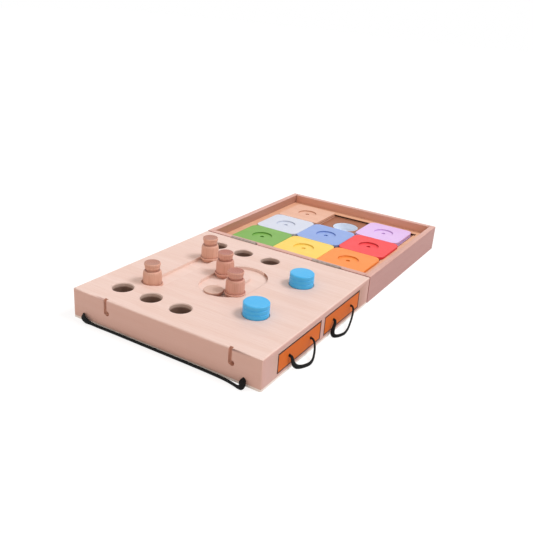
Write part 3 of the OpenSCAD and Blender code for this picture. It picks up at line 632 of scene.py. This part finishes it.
def end_group(tree, given, piece):
    """Put one of the piece on every point, turned as asked, and hand it on as plain mesh."""
    turn = add(tree, "FunctionNodeEulerToRotation", {"Euler": given["Turn"]})
    placed = add(tree, "GeometryNodeInstanceOnPoints", {
        "Points": given["Geometry"], "Instance": piece, "Rotation": turn.outputs["Rotation"]})
    real = add(tree, "GeometryNodeRealizeInstances", {"Geometry": placed.outputs["Instances"]})
    coated = add(tree, "GeometryNodeSetMaterial", {
        "Geometry": real.outputs["Geometry"], "Material": given["Material"]})
    add(tree, "NodeGroupOutput", {"Geometry": coated.outputs["Geometry"]})
    return tree


def times(tree, value, factor):
    """The output of a size times a number."""
    return add(tree, "ShaderNodeMath", {0: value, 1: factor}, operation="MULTIPLY").outputs["Value"]


def less(tree, value, other):
    """The output of a size less another."""
    return add(tree, "ShaderNodeMath", {0: value, 1: other}, operation="SUBTRACT").outputs["Value"]


def vector(tree, x=0.0, y=0.0, z=0.0):
    """A vector output of three sizes."""
    return add(tree, "ShaderNodeCombineXYZ", {"X": x, "Y": y, "Z": z}).outputs["Vector"]


def screw_group():
    """Countersunk screws with a cross recess, their heads' faces on the points."""
    tree, given = start_group("countersunk screws", ("Head Radius", "Shank Radius", "Length"))
    head, shank, length = given["Head Radius"], given["Shank Radius"], given["Length"]
    depth = less(tree, head, shank)
    cone = add(tree, "GeometryNodeMeshCone", {
        "Vertices": 40, "Radius Top": shank, "Radius Bottom": head, "Depth": depth})
    cuts = []
    for wide, long in ((0.3, 1.25), (1.25, 0.3)):
        bar = add(tree, "GeometryNodeMeshCube", {
            "Size": vector(tree, times(tree, head, wide), times(tree, head, long), depth)})
        cuts.append(bar.outputs["Mesh"])
    cross = add(tree, "GeometryNodeMeshBoolean", {"Mesh 1": cone.outputs["Mesh"]}, operation="DIFFERENCE")
    for cut in cuts:
        tree.links.new(cut, cross.inputs["Mesh 2"])
    rod = add(tree, "GeometryNodeMeshCylinder", {"Vertices": 20, "Radius": shank, "Depth": length})
    raised = add(tree, "GeometryNodeTransform", {
        "Geometry": rod.outputs["Mesh"],
        "Translation": vector(tree, z=add(tree, "ShaderNodeMath", {
            0: times(tree, length, 0.5), 1: times(tree, depth, 0.6)}, operation="ADD").outputs["Value"])})
    both = add(tree, "GeometryNodeJoinGeometry")
    tree.links.new(raised.outputs["Geometry"], both.inputs["Geometry"])
    tree.links.new(cross.outputs["Mesh"], both.inputs["Geometry"])
    return end_group(tree, given, both.outputs["Geometry"])


CUP_SIDES = 72


def cup_group():
    """Thin tapered cups with a rolled rim, standing on the points."""
    tree, given = start_group("treat cups", ("Rim Radius", "Height", "Wall", "Taper"))
    rim, height, wall = given["Rim Radius"], given["Height"], given["Wall"]
    inner = less(tree, rim, wall)
    outside = add(tree, "GeometryNodeMeshCone", {
        "Vertices": CUP_SIDES, "Radius Top": rim, "Radius Bottom": less(tree, rim, given["Taper"]),
        "Depth": height})
    inside = add(tree, "GeometryNodeMeshCone", {
        "Vertices": CUP_SIDES, "Radius Top": inner, "Radius Bottom": less(tree, inner, given["Taper"]),
        "Depth": height})
    raised = add(tree, "GeometryNodeTransform", {
        "Geometry": inside.outputs["Mesh"], "Translation": vector(tree, z=wall)})
    shell = add(tree, "GeometryNodeMeshBoolean", {
        "Mesh 1": outside.outputs["Mesh"], "Mesh 2": raised.outputs["Geometry"]}, operation="DIFFERENCE")
    path = add(tree, "GeometryNodeCurvePrimitiveCircle", {
        "Resolution": CUP_SIDES, "Radius": less(tree, rim, times(tree, wall, 0.5))})
    round_bead = add(tree, "GeometryNodeCurvePrimitiveCircle", {
        "Resolution": 12, "Radius": times(tree, wall, 0.5)})
    bead = add(tree, "GeometryNodeCurveToMesh", {
        "Curve": path.outputs["Curve"], "Profile Curve": round_bead.outputs["Curve"]})
    bead_z = less(tree, height, times(tree, wall, 0.1))
    lifted = add(tree, "GeometryNodeTransform", {
        "Geometry": bead.outputs["Mesh"], "Translation": vector(tree, z=bead_z)})
    both = add(tree, "GeometryNodeJoinGeometry")
    tree.links.new(lifted.outputs["Geometry"], both.inputs["Geometry"])
    tree.links.new(shell.outputs["Mesh"], both.inputs["Geometry"])
    return end_group(tree, given, both.outputs["Geometry"])


def repeat(name, group, node, points, sizes, turn, material):
    """Run a group on the points and keep the result as one plain piece."""
    seed = bpy.data.meshes.new(name + "_points")
    seed.from_pydata(points, [], [])
    holder = bpy.data.objects.new(name + "_points", seed)
    bpy.context.scene.collection.objects.link(holder)
    modifier = holder.modifiers.new("repeat", "NODES")
    modifier.node_group = group
    values = dict(sizes, Turn=turn, Material=material)
    for socket in group.interface.items_tree:
        if socket.in_out == "INPUT" and socket.name in values:
            modifier[socket.identifier] = values[socket.name]
    graph = bpy.context.evaluated_depsgraph_get()
    mesh = bpy.data.meshes.new_from_object(holder.evaluated_get(graph))
    mesh.name = name
    bpy.data.objects.remove(holder)
    smooth(mesh)
    return new_object(name, mesh, material, BODY_OF[node], [node])


PANEL_SCREWS = [(x, y) for x in (-1, 0, 1) for y in (-1, 0, 1) if x or y]


def add_screws(material):
    """Screws of the two bottom panels and of the hinges."""
    group = screw_group()
    panel = {"Head Radius": 3 * MM, "Shank Radius": 1.5 * MM, "Length": 12.5 * MM}
    # half the width and depth of the ring of screws, its middle, and the height of the heads' faces
    for node, half_w, half_d, middle, z in (
            ("peg_box_screws", 132, 132, -TRAY_Y, 0.3), ("tray_screws", 123, 123, TRAY_Y, 1.3)):
        points = [(x * half_w * MM, middle + y * half_d * MM, z * MM) for x, y in PANEL_SCREWS]
        repeat(node + "_set", group, node, points, panel, (0, 0, 0), material)
    leaf = {"Head Radius": 2.15 * MM, "Shank Radius": 1.2 * MM, "Length": 5.9 * MM}
    for node, side in (("hinge_box_screws", -1), ("hinge_tray_screws", 1)):
        points = [(x * MM, side * 0.65 * MM, 32.05 * MM) for x in (-85, -57, 57, 85)]
        repeat(node + "_set", group, node, points, leaf, (-side * math.pi / 2, 0, 0), material)


def add_cups(material):
    """Nine white cups in the wells."""
    low, high = (corner.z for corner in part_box("treat_cups"))
    sizes = {"Rim Radius": 21.7 * MM, "Height": high - low - 0.5 * MM, "Wall": 1.2 * MM,
             "Taper": 0.8 * MM}
    points = [(x * TILE_PITCH, TRAY_Y + y * TILE_PITCH, low) for x in (-1, 0, 1) for y in (-1, 0, 1)]
    repeat("white_treat_cups", cup_group(), "treat_cups", points, sizes, (0, 0, 0), material)


# ---- Wooden parts ----

# Each test below tells one kind of face by its centre in mm and by its normal

HOOKS = (-84.0, 100.0)          # the hooked grooves' places across the front
PLUGS = ((77.0, -196.6), (77.0, -84.6))
GROOVE_DEEPEST = 35.9           # just under the shallow grooves' floors
SLOT_LOW, SLOT_HIGH = 22.9, 25.3
TILE_HALF = 38.2
TONGUE = 3.6                    # how far a tile's tongue stands out


def in_hook(place, _):
    """Faces of the two hooked grooves in the front face."""
    return -280.3 < place.y < -271 and place.z > 15 and min(abs(place.x - x) for x in HOOKS) < 7


def within_block(place):
    """Faces inside the block's four outer faces."""
    return abs(place.x) < 137 and -277.5 < place.y < -3.5


def in_block(place, _):
    """Faces of the deep bores and bays in the block, below its shallow grooves."""
    return within_block(place) and 3.2 < place.z < GROOVE_DEEPEST


def in_bay(place, normal):
    """Faces of the two drawer bays."""
    return place.x > 45 and 5 < place.z < 33 and in_block(place, normal)


def in_seat(place, _):
    """Faces of the shallow seats under the plugs."""
    return min(math.hypot(place.x - x, place.y - y) for x, y in PLUGS) < 18.5 and 36 < place.z < 39.9


def in_groove(place, _):
    """Upright faces of the shallow grooves and of the hole rims."""
    return within_block(place) and GROOVE_DEEPEST < place.z < 39.9


def on_oval_right(place, normal):
    """The oval groove's outer wall on its right, painted brown as painted shade."""
    return in_groove(place, normal) and 14 < place.x < 45 and -185 < place.y < -85 and normal.x < 0


def is_rim(_, normal):
    """The sawn edges of a drawer front."""
    return abs(normal.x) < 0.5


def faces_tiles(place, normal):
    """Upright faces that look towards the middle of the tray."""
    return abs(normal.z) < 0.5 and normal.x * place.x + normal.y * (place.y - TRAY_Y / MM) < -60


def in_frame_slot(place, _):
    """Faces of the slots in the tile surround's left and far sides."""
    return SLOT_LOW < place.z < SLOT_HIGH and (place.x < -115.9 or place.y - TRAY_Y / MM > 115.9)


def tile_tests(node):
    """Tests for the faces of a tile's two slots and for the walls of its dish and finger hole."""
    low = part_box(node)[0] / MM
    x, y = low.x + TONGUE + TILE_HALF, low.y + TILE_HALF

    def in_slot(place, _):
        out = max(abs(place.x - x), abs(place.y - y))
        return TILE_HALF - 4.3 < out < TILE_HALF - 0.1 and SLOT_LOW < place.z < SLOT_HIGH

    def in_dish(place, normal):
        return math.hypot(place.x - x, place.y - y) < 16.3 and abs(normal.z) < 0.5 and place.z > 24

    return in_slot, in_dish


def middle_of(node):
    """The middle of a CAD node's box."""
    low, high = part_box(node)
    return (low + high) / 2


# Where the block's four boards are glued
HOUSING_X = 40 * MM
FRONT_STAVE_Y = FRONT_Y + 60 * MM
REAR_STAVE_Y = FRONT_Y + 220 * MM


def add_peg_box():
    """The glued-up block, its bottom panel, the pegs, the puck, the plugs and the drawers."""
    # edge-glued beech, sanded and oiled: a pale even top and pinker upright faces, partly the wood's own
    # tone and partly a painted highlight on the top and painted shade on the sides
    block = wood("pale sanded beech block", "#efd5cb", "#e6c7b9", "#dbac9d", "#d3a79f", fleck=0.12)
    # painted shade: the walls of the bores and of the plug seats are painted dark brown below their top 4
    # mm; the hooked grooves are coloured a darker brown
    drilled = drilled_wood()
    routed = wood("pale beech groove wall", "#f0d6cc", "#e7c8ba", "#f0d8cd", "#edd2c5", fleck=0.12)
    # painted shade: the oval groove's outer right wall is painted brown
    brown = wood("burnished groove wall", "#b58a76", "#a67b67", "#a87d69", "#997060", fleck=0.12)
    # painted shade: the drawer bays' walls and the drawer fronts' sawn edges are painted nearly black for
    # the shade in the gap round each drawer
    gap_shade = wood("drawer gap wood painted dark as shade", "#4a2c1e", "#3d2419", "#452a1d", "#382016", rough=0.7)
    # the hooked grooves are coloured a darker brown
    hook_brown = wood("darker beech in the hooked grooves", "#dba790", "#cc9681", "#d29d89", "#c08d78", grain="Z",
                    fleck=0.2, rough=0.6)
    seams = ((0, HOUSING_X), (1, FRONT_STAVE_Y), (1, REAR_STAVE_Y))
    finished("peg_box_block", ["front_stave", "groove_board", "rear_stave", "drawer_housing"], block,
             seams=seams, others=[(hook_brown, in_hook), (gap_shade, in_bay), (drilled, in_block),
                                  (drilled, in_seat), (brown, on_oval_right), (routed, in_groove)])
    # the bottom panel is painted near white: partly its own pale tone, partly a painted highlight along
    # its thin edge
    ply = wood("plywood panel painted near white, partly as highlight", "#fbf1ea", "#f3e7de", "#fbf1ea", "#f7ebe2", fleck=0.1)
    finished("peg_box_bottom", ["peg_box_panel"], ply, ease=0.4)
    for node in ("parked_peg", "straight_peg", "oval_left_peg", "oval_right_peg"):
        tints = RED_PEG if "oval" in node else PALE_PEG
        turned = turned_beech("turned beech, " + node.replace("_", " "), middle_of(node), tints)
        finished("turned_" + node, [node], turned)
    disc = wood("darker beech puck", "#e0c0b1", "#d4af9e", "#bd8c79", "#b27f6c", fleck=0.2)
    finished("flat_oval_puck", ["oval_puck"], disc, ease=0.5)
    for node in ("near_plug", "far_plug"):
        paint = painted_wood("sky blue paint, " + node.replace("_", " "), "#42b8f4", "#6cc6f8",
                             turned=middle_of(node))
        finished("blue_" + node, [node], paint)
    inside = wood("plain drawer beech", "#e6c4b0", "#d9b096", "#d3a78e", "#c4947a", fleck=0.25)
    for side in ("near", "far"):
        orange = painted_wood("orange paint, " + side + " drawer", "#dd6a17", "#e07c33", rough=0.55,
                              specular=0.25, gap_shade=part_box(side + "_drawer_front"))
        finished(side + "_drawer_face", [side + "_drawer_front"], orange, ease=0.6,
                 others=[(gap_shade, is_rim)], edge_slot=1)
        finished(side + "_drawer_box", [side + "_drawer_tray"], inside, ease=0.3)


# Each tile's paint, the paint where it is thin, and a darker paint on the dish walls as painted shade
TILES = {
    "green": ("#76af47", "#8cc163", "#4f8a2c"), "yellow": ("#fbd75c", "#fde48c", "#ecc048"),
    "orange": ("#fb9136", "#fca55c", "#dd7a28"), "white": ("#d5ddee", "#e6ecf6", "#bcc5d8"),
    "blue": ("#8eabe8", "#a6bdee", "#5f7ec6"), "red": ("#f63a41", "#f8616a", "#bf2029"),
    "lilac": ("#e5c3f8", "#ecd0f8", "#c7a2dc")}


def add_tile_tray():
    """Rails, boards, the surround and the eight tiles."""
    outside = ("#e3b7ab", "#d4a291", "#b78582", "#aa7470")
    inside = ("#e3b7ab", "#d4a291", "#ab7b67", "#9f6c57")
    orange_wall = ("#e3b7ab", "#d4a291", "#d9a085", "#c98d70")
    rail_x = wood("beech rail along X", *outside, grain="X", fleck=0.4, figure=0.7)
    rail_y = wood("beech rail along Y", *outside, grain="Y", fleck=0.4, figure=0.7)
    warm_x = wood("orange beech wall along X", *orange_wall, grain="X", fleck=0.4, figure=0.7)
    warm_y = wood("warmer inner wall along Y", *inside, grain="Y", fleck=0.4, figure=0.7)
    # a warmer board round the tiles
    frame_wood = wood("warm beech tile frame", "#ecba99", "#dfa585", "#c78d70", "#b67c60")
    # dull brown board that shows in the empty cell
    floor = wood("brown routed board", "#aa7054", "#9c6449", "#8f5a42", "#84523b", fleck=0.3)
    for side, outer, inner in (("left", rail_y, warm_y), ("right", rail_y, warm_y),
                               ("near", rail_x, warm_x), ("far", rail_x, warm_x)):
        finished(side + "_rail", ["tray_" + side + "_rail"], outer, others=[(inner, faces_tiles)])
    for node in ("tray_panel", "tray_floor"):
        finished("brown_" + node, [node], floor, ease=0.3)
    strips = ["near_well_strip", "middle_well_strip", "far_well_strip"]
    seams = ((1, TRAY_Y - TILE_PITCH / 2), (1, TRAY_Y + TILE_PITCH / 2))
    finished("brown_well_board", strips, floor, ease=0.5, seams=seams)
    # painted shade: the narrow slots are painted nearly black for the deep shade in them
    slot = wood("tile slot painted dark as shade", "#3a261c", "#2f1e16", "#352219", "#2b1b14", rough=0.7)
    finished("tile_surround_frame", ["tile_surround"], frame_wood, ease=0.4,
             others=[(slot, in_frame_slot)])
    plain = wood("plain beech tile", "#eebea6", "#e0ac92", "#e3b397", "#d6a487", fleck=0.45, figure=0.7)
    in_slot, in_dish = tile_tests("plain_tile")
    # painted shade: the plain tile's dish walls are painted darker
    shade = wood("beech dish wall painted darker as shade", "#d2a086", "#c48f75", "#c99478", "#b98367", fleck=0.3)
    finished("bare_plain_tile", ["plain_tile"], plain, ease=0.5,
             others=[(slot, in_slot), (shade, in_dish)])
    for colour, (coat, thin, deep) in TILES.items():
        in_slot, in_dish = tile_tests(colour + "_tile")
        paint = painted_wood(colour + " satin paint on tile", coat, thin)
        # painted shade: the dish's walls and the finger hole get a darker paint, for the shade in them
        thick = painted_wood(colour + " thick paint in the dish", deep, deep)
        finished("painted_" + colour + "_tile", [colour + "_tile"], paint, ease=0.8,
                 others=[(slot, in_slot), (thick, in_dish)])


def add_hinges(material):
    """Leaves and pins of the two hinges."""
    for side in ("left", "right"):
        for part in ("hinge_box_leaf", "hinge_tray_leaf", "hinge_pin"):
            finished("steel_" + side + "_" + part, [side + "_" + part], material)


# ---- Stage and light ----

def add_stage():
    """A pale floor that looks white to the camera and keeps a soft shadow."""
    mesh = bpy.data.meshes.new("studio_floor")
    far = 6.0
    mesh.from_pydata([(-far, -far, 0), (far, -far, 0), (far, far, 0), (-far, far, 0)], [], [(0, 1, 2, 3)])
    floor = bpy.data.objects.new("studio_floor", mesh)
    bpy.context.scene.collection.objects.link(floor)
    material = bpy.data.materials.new("matt white paper")
    material.use_nodes = True
    tree = material.node_tree
    tree.nodes.clear()
    seen = seen_directly(tree)
    grey = add(tree, "ShaderNodeBsdfDiffuse", {"Color": linear("#d2cdca")})
    paper = add(tree, "ShaderNodeBsdfDiffuse", {"Color": linear("#fbfbfb")})
    white = add(tree, "ShaderNodeEmission", {"Color": (1, 1, 1, 1), "Strength": 1.12})
    bright = add(tree, "ShaderNodeMixShader", {
        0: 0.72, 1: paper.outputs["BSDF"], 2: white.outputs["Emission"]})
    both = add(tree, "ShaderNodeMixShader", {
        0: seen, 1: grey.outputs["BSDF"], 2: bright.outputs["Shader"]})
    add(tree, "ShaderNodeOutputMaterial", {"Surface": both.outputs["Shader"]})
    mesh.materials.append(material)


def seen_directly(tree):
    """1 for rays from the camera, and for mirrored and transmitted ones, else 0."""
    path = add(tree, "ShaderNodeLightPath")
    first = add(tree, "ShaderNodeMath", {
        0: path.outputs["Is Camera Ray"], 1: path.outputs["Is Glossy Ray"]}, operation="MAXIMUM")
    both = add(tree, "ShaderNodeMath", {
        0: first.outputs["Value"], 1: path.outputs["Is Transmission Ray"]}, operation="MAXIMUM")
    return both.outputs["Value"]


def add_light():
    """A soft dome, a broad soft lamp from the right and behind, and a weak warm fill from the front."""
    world = bpy.data.worlds.new("white studio")
    bpy.context.scene.world = world
    world.use_nodes = True
    tree = world.node_tree
    tree.nodes.clear()
    source = add(tree, "ShaderNodeTexCoord")
    parts = add(tree, "ShaderNodeSeparateXYZ", {"Vector": source.outputs["Generated"]})
    height = add(tree, "ShaderNodeMapRange", {
        "Value": parts.outputs["Z"], "To Min": 0.52, "To Max": 0.66})
    dome = add(tree, "ShaderNodeBackground", {
        "Color": linear("#fff9f4"), "Strength": height.outputs["Result"]})
    backdrop = add(tree, "ShaderNodeBackground", {"Color": (1, 1, 1, 1), "Strength": 1.0})
    both = add(tree, "ShaderNodeMixShader", {
        0: seen_directly(tree), 1: dome.outputs["Background"], 2: backdrop.outputs["Background"]})
    add(tree, "ShaderNodeOutputWorld", {"Surface": both.outputs["Shader"]})
    for name, energy, angle, colour, direction in (
            ("soft lamp", 1.52, 20, "#fdfcff", (0.85, 0.53, 1.43)),
            ("warm front fill", 0.42, 70, "#ffe9d6", (0.1, -1.0, 0.45))):
        lamp = bpy.data.lights.new(name, "SUN")
        lamp.energy = energy
        lamp.angle = math.radians(angle)
        lamp.color = linear(colour)[:3]
        holder = bpy.data.objects.new(name, lamp)
        holder.rotation_euler = Vector(direction).to_track_quat("Z", "Y").to_euler()
        bpy.context.scene.collection.objects.link(holder)


# ---- The whole scene ----

bpy.context.scene.view_settings.view_transform = "Standard"
add_camera()
add_cords(braided_cord())
add_peg_box()
add_tile_tray()
steel = plated_steel()
add_hinges(steel)
add_screws(steel)
add_cups(moulded_plastic())
add_stage()
add_light()
